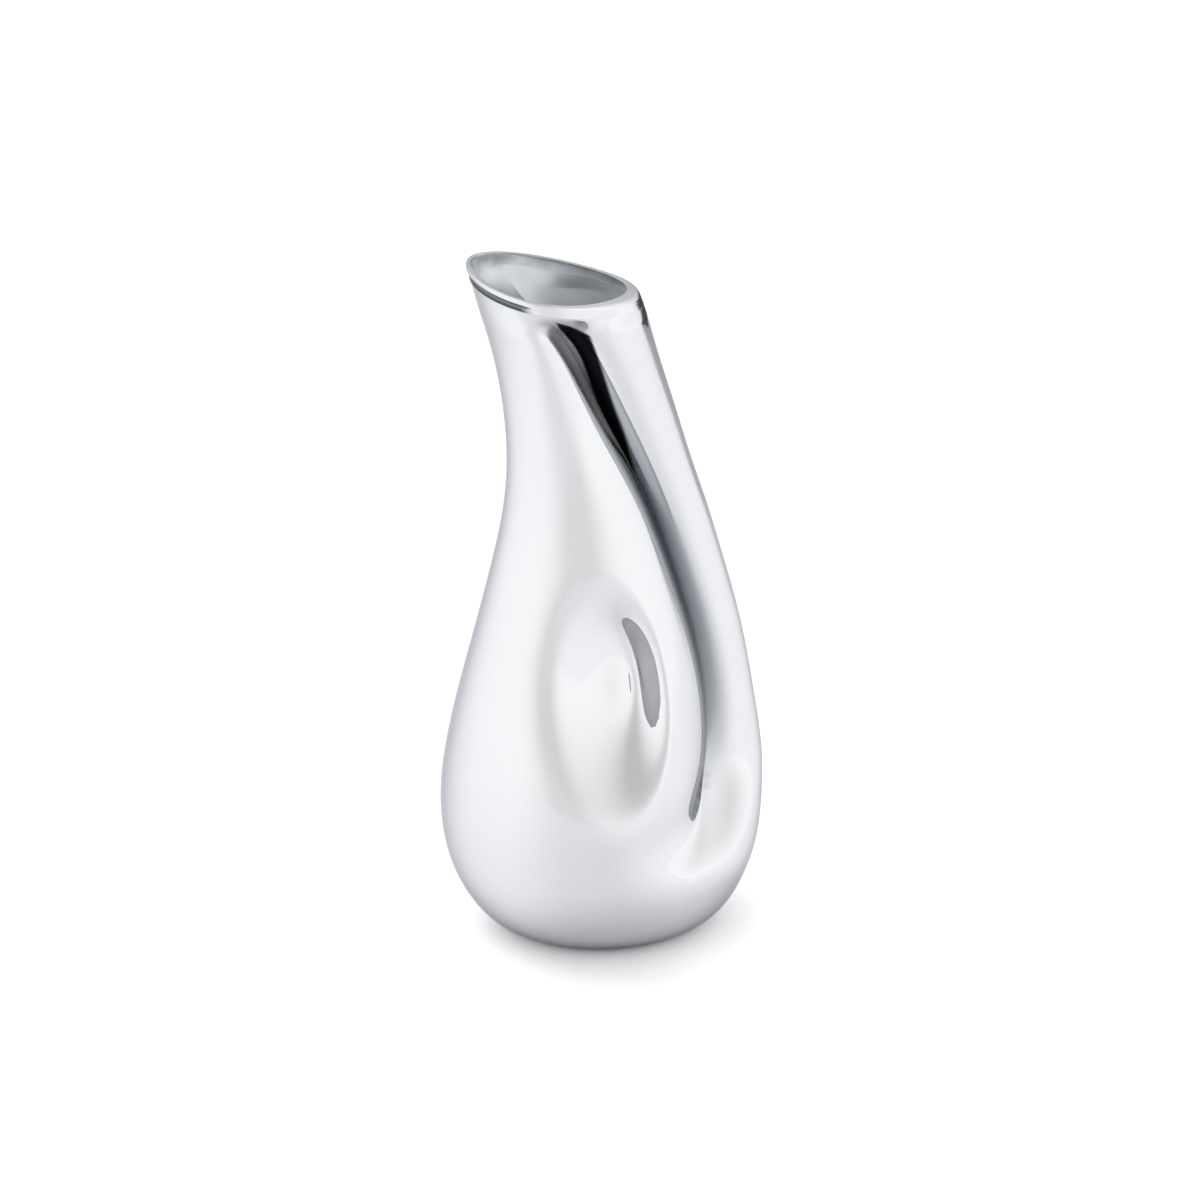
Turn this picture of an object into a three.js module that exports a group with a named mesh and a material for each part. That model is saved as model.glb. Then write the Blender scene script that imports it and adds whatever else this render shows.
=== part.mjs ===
// Silver cream jug with an integral hollow handle, built as soldered hollowware.
//
// Frame: millimetres, +Z up. The origin is the middle of the flat base, on the table.
// The spout points along -X, the handle is on the +X side, and the jug is symmetric
// about the plane y = 0.
//
// The wall is described by level sections. Each section is the outline of two ellipses:
// the big front lobe that holds the cream, and the slim handle tube behind it. They meet
// in a sharp valley on each side. The valley fades out into one plain egg shape below
// the mouth and again low on the belly.
import * as THREE from "three";

// ---- driving dimensions (mm) -------------------------------------------------------
const jugHeight = 140; // table to the tip of the spout
const bellyLength = 66; // along X at the widest level
const bellyWidth = 57; // along Y at the widest level
const baseShare = 0.5; // flat underside, as a share of the belly
const bottomCurve = 38; // height over which the belly rounds into the flat underside
const wall = 1.2; // sheet thickness of the body and handle
const seamGap = 0.3; // solder gap between neighbouring pieces
const mouthTilt = 9.8; // degrees, the rim falls from the spout to the handle
const lipWidth = 1.9; // rim wire, across
const lipHeight = 2.4; // rim wire, up and down
const lipProud = 0.2; // how far the rim wire stands out of the neck at the spout
const baseThickness = 1.2;
const dentDepth = 8.5; // thumb hollow, pressed in along Y
const dentLength = 58; // thumb hollow, up and down
const dentWidth = 31; // thumb hollow, front to back

// ---- proportions of the design -----------------------------------------------------
const designHeight = 140;
const designLength = 66;
const designWidth = 57;
const scaleZ = jugHeight / designHeight;
const scaleX = bellyLength / designLength;
const scaleY = bellyWidth / designWidth;
const bottomPower = 2.4; // above 2 the bottom curve joins the side with no jump in curvature

// Stations are pairs of height and value at the design size.
const frontLine = profile([[0, -31.2], [15, -33.6], [30, -32.9], [46, -30.1], [61, -26.4],
  [76, -22.7], [88, -20.3], [99, -19.5], [109, -20.1], [122, -22.3], [133, -25.3],
  [142, -27.9]], scaleX);
const backLine = profile([[0, 32.2], [15, 32.8], [30, 33.3], [46, 31.3], [61, 28.5],
  [76, 24.5], [88, 20.9], [97, 17.9], [109, 14.2], [122, 10.1], [130, 7.8], [142, 4]], scaleX);
const valleyLine = profile([[0, 2], [14, 9], [30, 17.4], [46, 19.4], [61, 17.1], [76, 12.7],
  [88, 8.5], [99, 3.6], [109, -1.4], [119, -6.3], [127, -10.9], [132, -14.8],
  [137, -19.5]], scaleX);
const valleyHalfWidth = profile([[0, 12], [14, 9], [30, 6.4], [46, 5], [61, 4.2], [76, 3.6],
  [88, 3.2], [99, 3.1], [109, 3.5], [119, 5], [127, 7.2], [132, 9], [137, 11]], scaleY);
const lobeHalfWidth = profile([[0, 28], [15, 28.9], [30, 28.6], [46, 26.3], [61, 22.6],
  [76, 18.6], [88, 15.6], [99, 13.4], [109, 12.2], [119, 12.2], [130, 13.5]], scaleY);
const tubeHalfWidth = profile([[0, 11], [30, 8.5], [46, 7.2], [61, 7], [76, 7], [88, 7.4],
  [97, 8], [109, 9.6], [122, 12.2], [130, 14.2]], scaleY);
const eggHalfWidth = profile([[0, 28], [15, 28.9], [30, 28.6], [61, 23], [99, 14],
  [109, 13.6], [122, 14.4], [130, 15.5], [142, 17.4]], scaleY);
const eggFrontSwell = profile([[0, 0], [30, 0], [99, 0.05], [122, 0.15], [142, 0.25]], 1);

const valleyEndsAbove = [129, 136.5]; // the valley fades out between these heights
const valleyStartsAt = [12, 38]; // and grows in between these heights
const creaseShare = 0.62; // share of the half section in front of the valley

const mouthMiddleX = -10.8 * scaleX;
const mouthMiddleZ = 137.3 * scaleZ;
const dentX = -9 * scaleX;
const dentZ = 55 * scaleZ;
const dentLean = { back: 0.55, up: 0.05 }; // the deepest point sits towards the handle
const dentFloor = 0.1; // share of the hollow that is flat at the bottom
const dentFadeFrom = 2; // the press stops short of the middle plane, mm
const dentFadeTo = 9;

// ---- mesh density ------------------------------------------------------------------
const lobeColumns = 14;
const tubeColumns = 6; // in one half of the handle
const bottomRows = 6;
const sideRows = 30;
const lipSteps = 56;
const lipSides = 8;

// ---- curves ------------------------------------------------------------------------

/** Natural cubic spline through stations of height and value, as a function of height. */
function profile(stations, valueScale) {
  const x = stations.map(([height]) => height * scaleZ);
  const y = stations.map(([, value]) => value * valueScale);
  const bend = splineBends(x, y);
  return (height) => {
    const at = Math.min(Math.max(height, x[0]), x[x.length - 1]);
    let i = 0;
    while (i < x.length - 2 && at > x[i + 1]) i += 1;
    const span = x[i + 1] - x[i];
    const a = (x[i + 1] - at) / span;
    const b = (at - x[i]) / span;
    const curve = (a ** 3 - a) * bend[i] + (b ** 3 - b) * bend[i + 1];
    return a * y[i] + b * y[i + 1] + (curve * span * span) / 6;
  };
}

/** Second derivatives of the natural cubic spline at its stations. */
function splineBends(x, y) {
  const last = x.length - 1;
  const bend = new Array(last + 1).fill(0);
  const carry = new Array(last + 1).fill(0);
  for (let i = 1; i < last; i += 1) {
    const share = (x[i] - x[i - 1]) / (x[i + 1] - x[i - 1]);
    const pivot = share * bend[i - 1] + 2;
    const slopeBelow = (y[i] - y[i - 1]) / (x[i] - x[i - 1]);
    const slopeAbove = (y[i + 1] - y[i]) / (x[i + 1] - x[i]);
    bend[i] = (share - 1) / pivot;
    const pull = (6 * (slopeAbove - slopeBelow)) / (x[i + 1] - x[i - 1]);
    carry[i] = (pull - share * carry[i - 1]) / pivot;
  }
  bend[last] = 0;
  for (let i = last - 1; i >= 0; i -= 1) bend[i] = bend[i] * bend[i + 1] + carry[i];
  return bend;
}

/** Quintic step from 0 at a to 1 at b, with no jump in slope or curvature. */
function softStep(value, a, b) {
  const t = Math.min(Math.max((value - a) / (b - a), 0), 1);
  return t ** 3 * (t * (6 * t - 15) + 10);
}

const mix = (from, to, share) => from + (to - from) * share;

// ---- the wall ----------------------------------------------------------------------

/** How strongly the valley shows at a height: 0 is a plain egg, 1 is lobe and tube. */
function valleyStrength(z) {
  const height = z / scaleZ;
  return softStep(height, ...valleyStartsAt) * (1 - softStep(height, ...valleyEndsAbove));
}

/** Point of the lobe and tube outline; side is 0 at the spout, 1 at the handle's back. */
function lobeAndTube(z, side, limits) {
  const { front, back, valleyX, valleyY } = limits;
  const lobe = lobeHalfWidth(z);
  const tube = tubeHalfWidth(z);
  if (side <= creaseShare) {
    const reach = Math.sqrt(1 - (valleyY / lobe) ** 2);
    const radius = (valleyX - front) / (1 + reach);
    const angle = (side / creaseShare) * (Math.PI - Math.asin(valleyY / lobe));
    return [front + radius - radius * Math.cos(angle), lobe * Math.sin(angle)];
  }
  const reach = Math.sqrt(1 - (valleyY / tube) ** 2);
  const radius = (back - valleyX) / (1 + reach);
  const angle = ((1 - side) / (1 - creaseShare)) * (Math.PI - Math.asin(valleyY / tube));
  return [back - radius + radius * Math.cos(angle), tube * Math.sin(angle)];
}

/** Point of the plain egg outline with the same columns as the lobe and tube. */
function egg(z, side, limits) {
  const { front, back, valleyX } = limits;
  const middle = (front + back) / 2;
  const radius = (back - front) / 2;
  const creaseAngle = Math.acos((middle - valleyX) / radius);
  const angle = side <= creaseShare
    ? (side / creaseShare) * creaseAngle
    : mix(creaseAngle, Math.PI, (side - creaseShare) / (1 - creaseShare));
  const swell = 1 + eggFrontSwell(z) * Math.cos(angle);
  return [middle - radius * Math.cos(angle), eggHalfWidth(z) * Math.sin(angle) * swell];
}

/** Outer half section at a height, y >= 0, before the bottom curve draws it in. */
function section(z, side) {
  const narrower = 0.95 * Math.min(lobeHalfWidth(z), tubeHalfWidth(z));
  const limits = {
    front: frontLine(z),
    back: backLine(z),
    valleyX: valleyLine(z),
    valleyY: Math.min(valleyHalfWidth(z), narrower),
  };
  const pinched = lobeAndTube(z, side, limits);
  const plain = egg(z, side, limits);
  const strength = valleyStrength(z);
  return [mix(plain[0], pinched[0], strength), mix(plain[1], pinched[1], strength)];
}

const rimSlope = Math.tan(THREE.MathUtils.degToRad(mouthTilt));
const rimUp = new THREE.Vector3(rimSlope, 0, 1).normalize(); // square to the rim plane
const rimHeight = (x) => mouthMiddleZ - rimSlope * (x - mouthMiddleX);

/** Height where a column meets the tilted rim plane, or a plane that lies `drop` under it. */
function columnTop(side, drop) {
  let top = mouthMiddleZ;
  for (let i = 0; i < 30; i += 1) top = (top + rimHeight(section(top, side)[0]) - drop) / 2;
  return top;
}

/** Depth of the thumb hollow over a point of the side view. Its level lines are ellipses
 *  that crowd together towards the handle, so the front slope is long and the rear steep. */
function thumbHollow(x, z) {
  const px = (x - dentX) / (dentWidth / 2) - dentLean.back;
  const pz = (z - dentZ) / (dentLength / 2) - dentLean.up;
  const along = px * dentLean.back + pz * dentLean.up;
  const rest = 1 - dentLean.back ** 2 - dentLean.up ** 2;
  const ring = (along + Math.sqrt(along * along + rest * (px * px + pz * pz))) / rest;
  return dentDepth * (1 - softStep(ring, dentFloor, 1));
}

/** Outer wall: side 0..1 from the spout to the back, rise -1..0 bottom curve, 0..1 side. */
function outerPoint(side, rise, top) {
  const turn = (-Math.min(rise, 0) * Math.PI) / 2;
  const sink = Math.sin(turn) ** (2 / bottomPower);
  const z = rise < 0 ? bottomCurve * (1 - sink) : mix(bottomCurve, top, rise);
  const drawnIn = mix(baseShare, 1, Math.max(Math.cos(turn), 0) ** (2 / bottomPower));
  const [x, y] = section(z, side).map((value) => value * drawnIn);
  const press = thumbHollow(x, z) * softStep(y, dentFadeFrom, dentFadeTo);
  return new THREE.Vector3(x, y - press, z);
}

// ---- shells ------------------------------------------------------------------------

/** Column places from one side share to another, and row places from base to shell top. */
const columnsBetween = (from, to, count) =>
  Array.from({ length: count + 1 }, (_, i) => mix(from, to, i / count));

const rowPlaces = [
  ...Array.from({ length: bottomRows }, (_, j) => j / bottomRows - 1),
  ...Array.from({ length: sideRows + 1 }, (_, j) => j / sideRows),
];

/** Unit normal out of the wall, from small steps that stay on one side of the valley. */
function wallNormal(side, rise, top, inLobe) {
  const step = 0.004;
  const low = inLobe ? 0 : creaseShare;
  const high = inLobe ? creaseShare : 1;
  const a = outerPoint(Math.max(side - step, low), rise, top);
  const b = outerPoint(Math.min(side + step, high), rise, top);
  const c = outerPoint(side, Math.max(rise - step, -1), top);
  const d = outerPoint(side, Math.min(rise + step, 1), top);
  return d.sub(c).cross(b.sub(a)).normalize();
}

/** Direction to the inner face: at the valley both sides share the mitre between them. */
function inwardAt(side, rise, top, inLobe) {
  const normal = wallNormal(side, rise, top, inLobe);
  if (side === creaseShare) normal.add(wallNormal(side, rise, top, !inLobe)).normalize();
  if (side === 0 || side === 1) normal.setY(0).normalize();
  if (rise === -1) normal.set(0, 0, -1);
  return normal.negate();
}

/** Lays a direction into the rim plane, so that a shell ends level under the rim wire. */
const alongRim = (direction) =>
  direction.addScaledVector(rimUp, -direction.dot(rimUp)).normalize();

/** Outer and inner grids, [row][column], of the wall between two columns on the +Y side. */
function wallGrids(from, to, count) {
  const inLobe = from < creaseShare;
  const outer = [];
  const inner = [];
  columnsBetween(from, to, count).forEach((side) => {
    const top = columnTop(side, lipHeight + seamGap);
    rowPlaces.forEach((rise, j) => {
      const point = outerPoint(side, rise, top);
      const inward = inwardAt(side, rise, top, inLobe);
      if (rise === 1) alongRim(inward);
      outer[j] ??= [];
      inner[j] ??= [];
      outer[j].push(point);
      inner[j].push(point.clone().addScaledVector(inward, wall));
    });
  });
  return { outer, inner };
}

/** Pulls the edge column of a grid back by half a solder gap, square to the seam. */
function openSeam(grid, edge, neighbour) {
  const last = grid.length - 1;
  const pulls = grid.map((row, j) => {
    const [above, below] = [grid[Math.min(j + 1, last)], grid[Math.max(j - 1, 0)]];
    const seam = above[edge].clone().sub(below[edge]).normalize();
    const pull = row[neighbour].clone().sub(row[edge]);
    return pull.addScaledVector(seam, -pull.dot(seam)).setLength(seamGap / 2);
  });
  grid.forEach((row, j) => row[edge].add(pulls[j]));
}

/** Closed sheet between two grids of the same size, as one indexed geometry. The faces
 *  along an edge are split the same way up on both sides of a seam, so they lie parallel. */
function sheetGeometry(outer, inner) {
  const rows = outer.length;
  const columns = outer[0].length;
  const positions = [...outer.flat(), ...inner.flat()].flatMap((p) => [p.x, p.y, p.z]);
  const at = (j, i) => j * columns + i;
  const shift = rows * columns;
  const index = [];
  for (let j = 0; j < rows - 1; j += 1) {
    for (let i = 0; i < columns - 1; i += 1) {
      const quad = [at(j, i), at(j + 1, i), at(j + 1, i + 1), at(j, i + 1)];
      index.push(quad[0], quad[1], quad[2], quad[0], quad[2], quad[3]);
      const back = quad.map((k) => k + shift);
      index.push(back[0], back[2], back[1], back[0], back[3], back[2]);
    }
  }
  for (const [p, q] of boundaryEdges(rows, columns, at)) {
    if (p > q) index.push(q, p, p + shift, q, p + shift, q + shift);
    else index.push(q, p, q + shift, p, p + shift, q + shift);
  }
  return indexedGeometry(positions, index);
}

/** Edges around a grid, in the direction in which its outer faces run. */
function boundaryEdges(rows, columns, at) {
  const edges = [];
  for (let j = 0; j < rows - 1; j += 1) {
    edges.push([at(j, 0), at(j + 1, 0)]);
    edges.push([at(j + 1, columns - 1), at(j, columns - 1)]);
  }
  for (let i = 0; i < columns - 1; i += 1) {
    edges.push([at(0, i + 1), at(0, i)]);
    edges.push([at(rows - 1, i), at(rows - 1, i + 1)]);
  }
  return edges;
}

function indexedGeometry(positions, index) {
  const geometry = new THREE.BufferGeometry();
  geometry.setAttribute("position", new THREE.Float32BufferAttribute(positions, 3));
  geometry.setIndex(index);
  geometry.computeVertexNormals();
  return geometry;
}

const mirrorPoint = (p) => new THREE.Vector3(p.x, -p.y, p.z);

/** The same grid on the -Y side; turning the columns round keeps its faces pointing out. */
const mirrorGrid = (grid) => grid.map((row) => row.map(mirrorPoint).reverse());

/** Side shell of the body, from the spout line to the valley, with its thumb hollow. */
function bodySideGrids() {
  const { outer, inner } = wallGrids(0, creaseShare, lobeColumns);
  for (const grid of [outer, inner]) {
    openSeam(grid, lobeColumns, lobeColumns - 1);
    grid.forEach((row) => row[0].setY(seamGap / 2));
  }
  return { outer, inner };
}

/** Handle shell, from valley to valley round the back. */
function handleGrids() {
  const half = wallGrids(creaseShare, 1, tubeColumns);
  const round = {};
  for (const key of ["outer", "inner"]) {
    openSeam(half[key], 0, 1);
    half[key].forEach((row) => row[tubeColumns].setY(0));
    const far = mirrorGrid(half[key]);
    round[key] = half[key].map((row, j) => [...row, ...far[j].slice(1)]);
  }
  return round;
}

// ---- rim wire and base -------------------------------------------------------------

/** Rim wire: an oval section carried round the mouth, proud of the neck at the spout. */
function rimWireGeometry() {
  const positions = [];
  const index = [];
  for (let k = 0; k < lipSteps; k += 1) {
    const { edge, out, proud } = rimFrame((2 * k) / lipSteps);
    for (let s = 0; s < lipSides; s += 1) {
      const angle = (2 * Math.PI * s) / lipSides;
      const across = proud - lipWidth / 2 + (lipWidth / 2) * Math.cos(angle);
      const rise = (lipHeight / 2) * (Math.sin(angle) - 1);
      const p = edge.clone().addScaledVector(out, across).addScaledVector(rimUp, rise);
      positions.push(p.x, p.y, p.z);
      const nextStep = (k + 1) % lipSteps;
      const nextSide = (s + 1) % lipSides;
      const [a, b] = [k * lipSides + s, nextStep * lipSides + s];
      const [c, d] = [nextStep * lipSides + nextSide, k * lipSides + nextSide];
      index.push(a, c, b, a, d, c);
    }
  }
  return indexedGeometry(positions, index);
}

/** Outer edge of the rim, its direction out of the mouth, and how proud the wire is.
 *  The turn runs 0..1 along the +Y side to the back and 1..2 along the -Y side. */
function rimFrame(turn) {
  const edge = rimEdge(turn);
  const ahead = rimEdge(turn + 0.01).sub(rimEdge(turn - 0.01));
  const out = rimUp.clone().cross(ahead).normalize();
  const side = turn <= 1 ? turn : 2 - turn;
  const proud = lipProud * (1 - softStep(side, 0.2, 0.8));
  return { edge, out, proud };
}

function rimEdge(turn) {
  const wrapped = (turn + 2) % 2;
  const side = wrapped <= 1 ? wrapped : 2 - wrapped;
  const point = outerPoint(side, 1, columnTop(side, 0));
  return wrapped <= 1 ? point : mirrorPoint(point);
}

/** Base disc: fills the flat inside the shells' lower edge, flush with their underside. */
function baseGeometry() {
  const outline = [...columnsBetween(0, creaseShare, lobeColumns),
    ...columnsBetween(creaseShare, 1, tubeColumns).slice(1)];
  const half = outline.map((side) => {
    const p = outerPoint(side, -1, 0);
    return new THREE.Vector2(p.x, p.y).multiplyScalar(1 - seamGap / Math.hypot(p.x, p.y));
  });
  const far = half.slice(1, -1).reverse().map((p) => new THREE.Vector2(p.x, -p.y));
  const shape = new THREE.Shape([...half, ...far]);
  return new THREE.ExtrudeGeometry(shape, { depth: baseThickness, bevelEnabled: false });
}

// ---- materials and assembly --------------------------------------------------------
const silver = (color, roughness) => new THREE.MeshStandardMaterial({ color, metalness: 1, roughness });
const polishedSilver = () => silver("#dfe1e4", 0.06);
const satinSilver = () => silver("#c9cdd1", 0.3);

function piece(name, geometry, material) {
  const mesh = new THREE.Mesh(geometry, material);
  mesh.name = name;
  return mesh;
}

const left = bodySideGrids();
const right = { outer: mirrorGrid(left.outer), inner: mirrorGrid(left.inner) };
const handle = handleGrids();

const jug = new THREE.Group();
jug.add(piece("body_left", sheetGeometry(left.outer, left.inner), polishedSilver()));
jug.add(piece("body_right", sheetGeometry(right.outer, right.inner), polishedSilver()));
jug.add(piece("handle_shell", sheetGeometry(handle.outer, handle.inner), polishedSilver()));
jug.add(piece("rim_wire", rimWireGeometry(), polishedSilver()));
jug.add(piece("base_disc", baseGeometry(), satinSilver()));

export default jug;
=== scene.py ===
# %% [markdown]
# # A silver cream jug
#
# The object is a small pouring jug in polished silver. A silversmith would raise it from
# thin sheet: two side shells, a hollow handle shell that closes the back, a wire round
# the mouth and a plate in the underside. The seams are soldered, filed and polished until
# nobody can see them, so the finished jug looks poured out of one piece.
#
# What makes it a hard object to model is that it is a mirror. A mirror shows every bump
# in its normals, so nothing here is sculpted by hand. Each wall is a grid of points that
# come from a few smooth curves.
#
# The frame holds the working model of the jug: its five pieces, each in its place. What
# is made below takes its place and its size from the frame.

# %% Load the frame
import math

import bpy
import numpy as np
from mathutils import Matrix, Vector


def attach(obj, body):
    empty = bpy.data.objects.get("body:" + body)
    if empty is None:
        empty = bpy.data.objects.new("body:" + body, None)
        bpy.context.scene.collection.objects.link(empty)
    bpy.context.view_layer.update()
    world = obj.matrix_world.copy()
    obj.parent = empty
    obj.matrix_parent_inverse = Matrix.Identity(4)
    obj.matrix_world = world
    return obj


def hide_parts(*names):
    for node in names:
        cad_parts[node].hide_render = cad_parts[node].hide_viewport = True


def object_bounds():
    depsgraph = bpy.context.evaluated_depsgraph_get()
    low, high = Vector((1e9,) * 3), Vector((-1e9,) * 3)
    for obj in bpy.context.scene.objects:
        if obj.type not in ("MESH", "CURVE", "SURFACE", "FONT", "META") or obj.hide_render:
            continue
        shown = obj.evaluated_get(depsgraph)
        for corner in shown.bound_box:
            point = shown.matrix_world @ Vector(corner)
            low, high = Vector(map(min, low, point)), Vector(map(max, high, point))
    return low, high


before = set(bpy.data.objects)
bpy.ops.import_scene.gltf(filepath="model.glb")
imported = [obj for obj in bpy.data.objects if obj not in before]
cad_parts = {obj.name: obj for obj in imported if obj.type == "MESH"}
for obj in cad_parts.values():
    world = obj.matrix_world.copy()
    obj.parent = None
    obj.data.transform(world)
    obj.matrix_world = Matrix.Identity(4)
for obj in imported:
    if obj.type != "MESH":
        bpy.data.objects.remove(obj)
cad_box = [list(corner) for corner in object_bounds()]
jug_low, jug_high = (Vector(corner) for corner in cad_box)
jug_size = jug_high - jug_low
MM = 0.001
print("jug, mm:", [round(side / MM, 1) for side in jug_size])

# %% [markdown]
# ## Curves that set the shape
#
# A surface patch could be lofted through a handful of outline curves by hand, but a
# polished wall needs the same smoothness everywhere. So each measure of the wall, such as
# the front line or the half width of the body, is a natural cubic spline over height. That
# is the curve that a springy wooden strip takes when it is held at a few points: its
# bending changes evenly, which is what makes reflections flow.

# %% Splines over height
def strip_curve(stations, stretch):
    """Natural cubic spline through (height, value) stations in mm, as a function."""
    height, value = (np.array(column, float) for column in zip(*stations))
    step = np.diff(height)
    slope = np.diff(value) / step
    rows = np.eye(len(height))
    pull = np.zeros(len(height))
    for i in range(1, len(height) - 1):
        rows[i, i - 1:i + 2] = step[i - 1], 2 * (step[i - 1] + step[i]), step[i]
        pull[i] = 6 * (slope[i] - slope[i - 1])
    bend = np.linalg.solve(rows, pull)

    def curve(z):
        z = np.clip(z, height[0], height[-1])
        i = np.clip(np.searchsorted(height, z) - 1, 0, len(step) - 1)
        b = (z - height[i]) / step[i]
        a = 1 - b
        sway = ((a**3 - a) * bend[i] + (b**3 - b) * bend[i + 1]) * step[i] ** 2 / 6
        return (a * value[i] + b * value[i + 1] + sway) * stretch

    return curve


def soft_step(value, start, end):
    """0 before start, 1 after end, with no jump in slope or in curvature."""
    t = np.clip((value - start) / (end - start), 0, 1)
    return t**3 * (t * (6 * t - 15) + 10)


def mix(a, b, share):
    return a + (b - a) * share


bow = strip_curve([(0, 0), (10, 10), (20, 0)], 1)
print("a strip held at 0, 10 and 0 mm passes", round(float(bow(5)), 2), "mm a quarter of the way along")

# %% The jug's own curves
DESIGN_LENGTH, DESIGN_WIDTH, DESIGN_HEIGHT = 65.8, 54.8, 140.1
stretch_x = jug_size.x / MM / DESIGN_LENGTH
stretch_y = jug_size.y / MM / DESIGN_WIDTH
stretch_z = jug_size.z / MM / DESIGN_HEIGHT

front_line = strip_curve([(0, -31.2), (15, -33.6), (30, -32.9), (46, -30.1), (61, -26.4),
                          (76, -22.7), (88, -20.3), (99, -19.5), (109, -20.1), (122, -22.3),
                          (133, -25.3), (142, -27.9)], stretch_x)
back_line = strip_curve([(0, 32.2), (15, 32.8), (30, 33.3), (46, 31.3), (61, 28.5), (76, 24.5),
                         (88, 20.9), (97, 17.9), (109, 14.2), (122, 10.1), (130, 7.8),
                         (142, 4)], stretch_x)
valley_line = strip_curve([(0, 2), (14, 9), (30, 17.4), (46, 19.4), (61, 17.1), (76, 12.7),
                           (88, 8.5), (99, 3.6), (109, -1.4), (119, -6.3), (127, -10.9),
                           (132, -14.8), (137, -19.5)], stretch_x)
valley_half_width = strip_curve([(0, 12), (14, 9), (30, 6.4), (46, 5), (61, 4.2), (76, 3.6),
                                 (88, 3.2), (99, 3.1), (109, 3.5), (119, 5), (127, 7.2),
                                 (132, 9), (137, 11)], stretch_y)
lobe_half_width = strip_curve([(0, 28), (15, 28.9), (30, 28.6), (46, 26.3), (61, 22.6),
                               (76, 18.6), (88, 15.6), (99, 13.4), (109, 12.2), (119, 12.2),
                               (130, 13.5)], stretch_y)
tube_half_width = strip_curve([(0, 11), (30, 8.5), (46, 7.2), (61, 7), (76, 7), (88, 7.4),
                               (97, 8), (109, 9.6), (122, 12.2), (130, 14.2)], stretch_y)
egg_half_width = strip_curve([(0, 28), (15, 28.9), (30, 28.6), (61, 23), (99, 14), (109, 13.6),
                              (122, 14.4), (130, 15.5), (142, 17.4)], stretch_y)
egg_front_swell = strip_curve([(0, 0), (30, 0), (99, 0.05), (122, 0.15), (142, 0.25)], 1)

CREASE = 0.62            # share of the half section that lies in front of the valley
VALLEY_FADE_TOP = (129, 136.5)  # mm of height over which the valley melts into the egg
VALLEY_FADE_BOTTOM = (12, 38)
VALLEY_LIMIT = 0.95      # the valley stays this share or less of the narrower half width
BASE_SHARE = 0.5         # flat underside, as a share of the belly
BOTTOM_CURVE = 38        # mm over which the belly rounds into the underside
BOTTOM_POWER = 2.4       # above 2, the round joins the side with no jump in curvature
MOUTH_TILT = math.radians(9.8)
MOUTH_X, MOUTH_Z = -10.8 * stretch_x, 137.3  # a point of the tilted plane that the rim lies in
RIM_UP = np.array([math.sin(MOUTH_TILT), 0, math.cos(MOUTH_TILT)])
DENT_X, DENT_Z = -9 * stretch_x, 55
DENT_WIDTH, DENT_LENGTH, DENT_DEPTH = 31, 58, 8.5
DENT_LEAN = (0.55, 0.05)  # the deepest point sits towards the handle
DENT_FLOOR = 0.1         # share of the hollow's reach that is level at its deepest point
DENT_CLEAR = (2, 9)      # mm from the middle plane over which the hollow may start
WALL = 1.2               # thickness of the silver sheet
print("belly half width at 30 mm:", round(float(lobe_half_width(30)), 1), "mm")

# %% [markdown]
# ## The wall as a function
#
# Every level of the jug is cut by a horizontal plane. The cut is the outline of two
# ellipses, the big lobe that holds the cream and the slim handle tube behind it. Where
# they cross there is a sharp valley. Near the mouth and low on the belly the outline
# melts into one plain egg, so the valley fades away.
#
# `side` runs from 0 at the spout to 1 at the handle's back. `rise` runs from -1 at the
# underside to 0 where the belly stands upright, and on to 1 at the rim.
#
# The thumb hollow is a depth in the side view that is taken off the half width. Pressing
# it with a sphere and a Boolean would leave a hard edge, and a lattice would bend the
# valley too. A depth whose slope and curvature both start from nothing leaves no line.

# %% Sections
def lobe_and_tube(z, side):
    """Half outline of the lobe and the handle tube, with the valley at side = CREASE."""
    lobe, tube = lobe_half_width(z), tube_half_width(z)
    valley_x = valley_line(z)
    valley_y = np.minimum(valley_half_width(z), VALLEY_LIMIT * np.minimum(lobe, tube))
    lobe_radius = (valley_x - front_line(z)) / (1 + np.sqrt(1 - (valley_y / lobe) ** 2))
    tube_radius = (back_line(z) - valley_x) / (1 + np.sqrt(1 - (valley_y / tube) ** 2))
    lobe_turn = side / CREASE * (np.pi - np.arcsin(valley_y / lobe))
    tube_turn = (1 - side) / (1 - CREASE) * (np.pi - np.arcsin(valley_y / tube))
    in_lobe = side <= CREASE
    x = np.where(in_lobe, front_line(z) + lobe_radius * (1 - np.cos(lobe_turn)),
                 back_line(z) - tube_radius * (1 - np.cos(tube_turn)))
    y = np.where(in_lobe, lobe * np.sin(lobe_turn), tube * np.sin(tube_turn))
    return x, y


def egg(z, side):
    """Half outline of the plain egg, with its columns where the lobe's and tube's are."""
    middle = (front_line(z) + back_line(z)) / 2
    radius = (back_line(z) - front_line(z)) / 2
    crease_turn = np.arccos((middle - valley_line(z)) / radius)
    turn = np.where(side <= CREASE, side / CREASE * crease_turn,
                    mix(crease_turn, np.pi, (side - CREASE) / (1 - CREASE)))
    swell = 1 + egg_front_swell(z) * np.cos(turn)
    return middle - radius * np.cos(turn), egg_half_width(z) * np.sin(turn) * swell


def section(z, side):
    """Half outline at a height, y >= 0, before the bottom curve draws it in."""
    strength = soft_step(z, *VALLEY_FADE_BOTTOM) * (1 - soft_step(z, *VALLEY_FADE_TOP))
    plain, pinched = egg(z, side), lobe_and_tube(z, side)
    return tuple(mix(p, q, strength) for p, q in zip(plain, pinched))


def column_top(side, drop=0.0, rounds=40):
    """Height at which each column meets the rim's tilted plane, or a plane `drop` below it."""
    top = np.full_like(side, MOUTH_Z)
    for _ in range(rounds):
        top = (top + MOUTH_Z - drop - np.tan(MOUTH_TILT) * (section(top, side)[0] - MOUTH_X)) / 2
    return top


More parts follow.
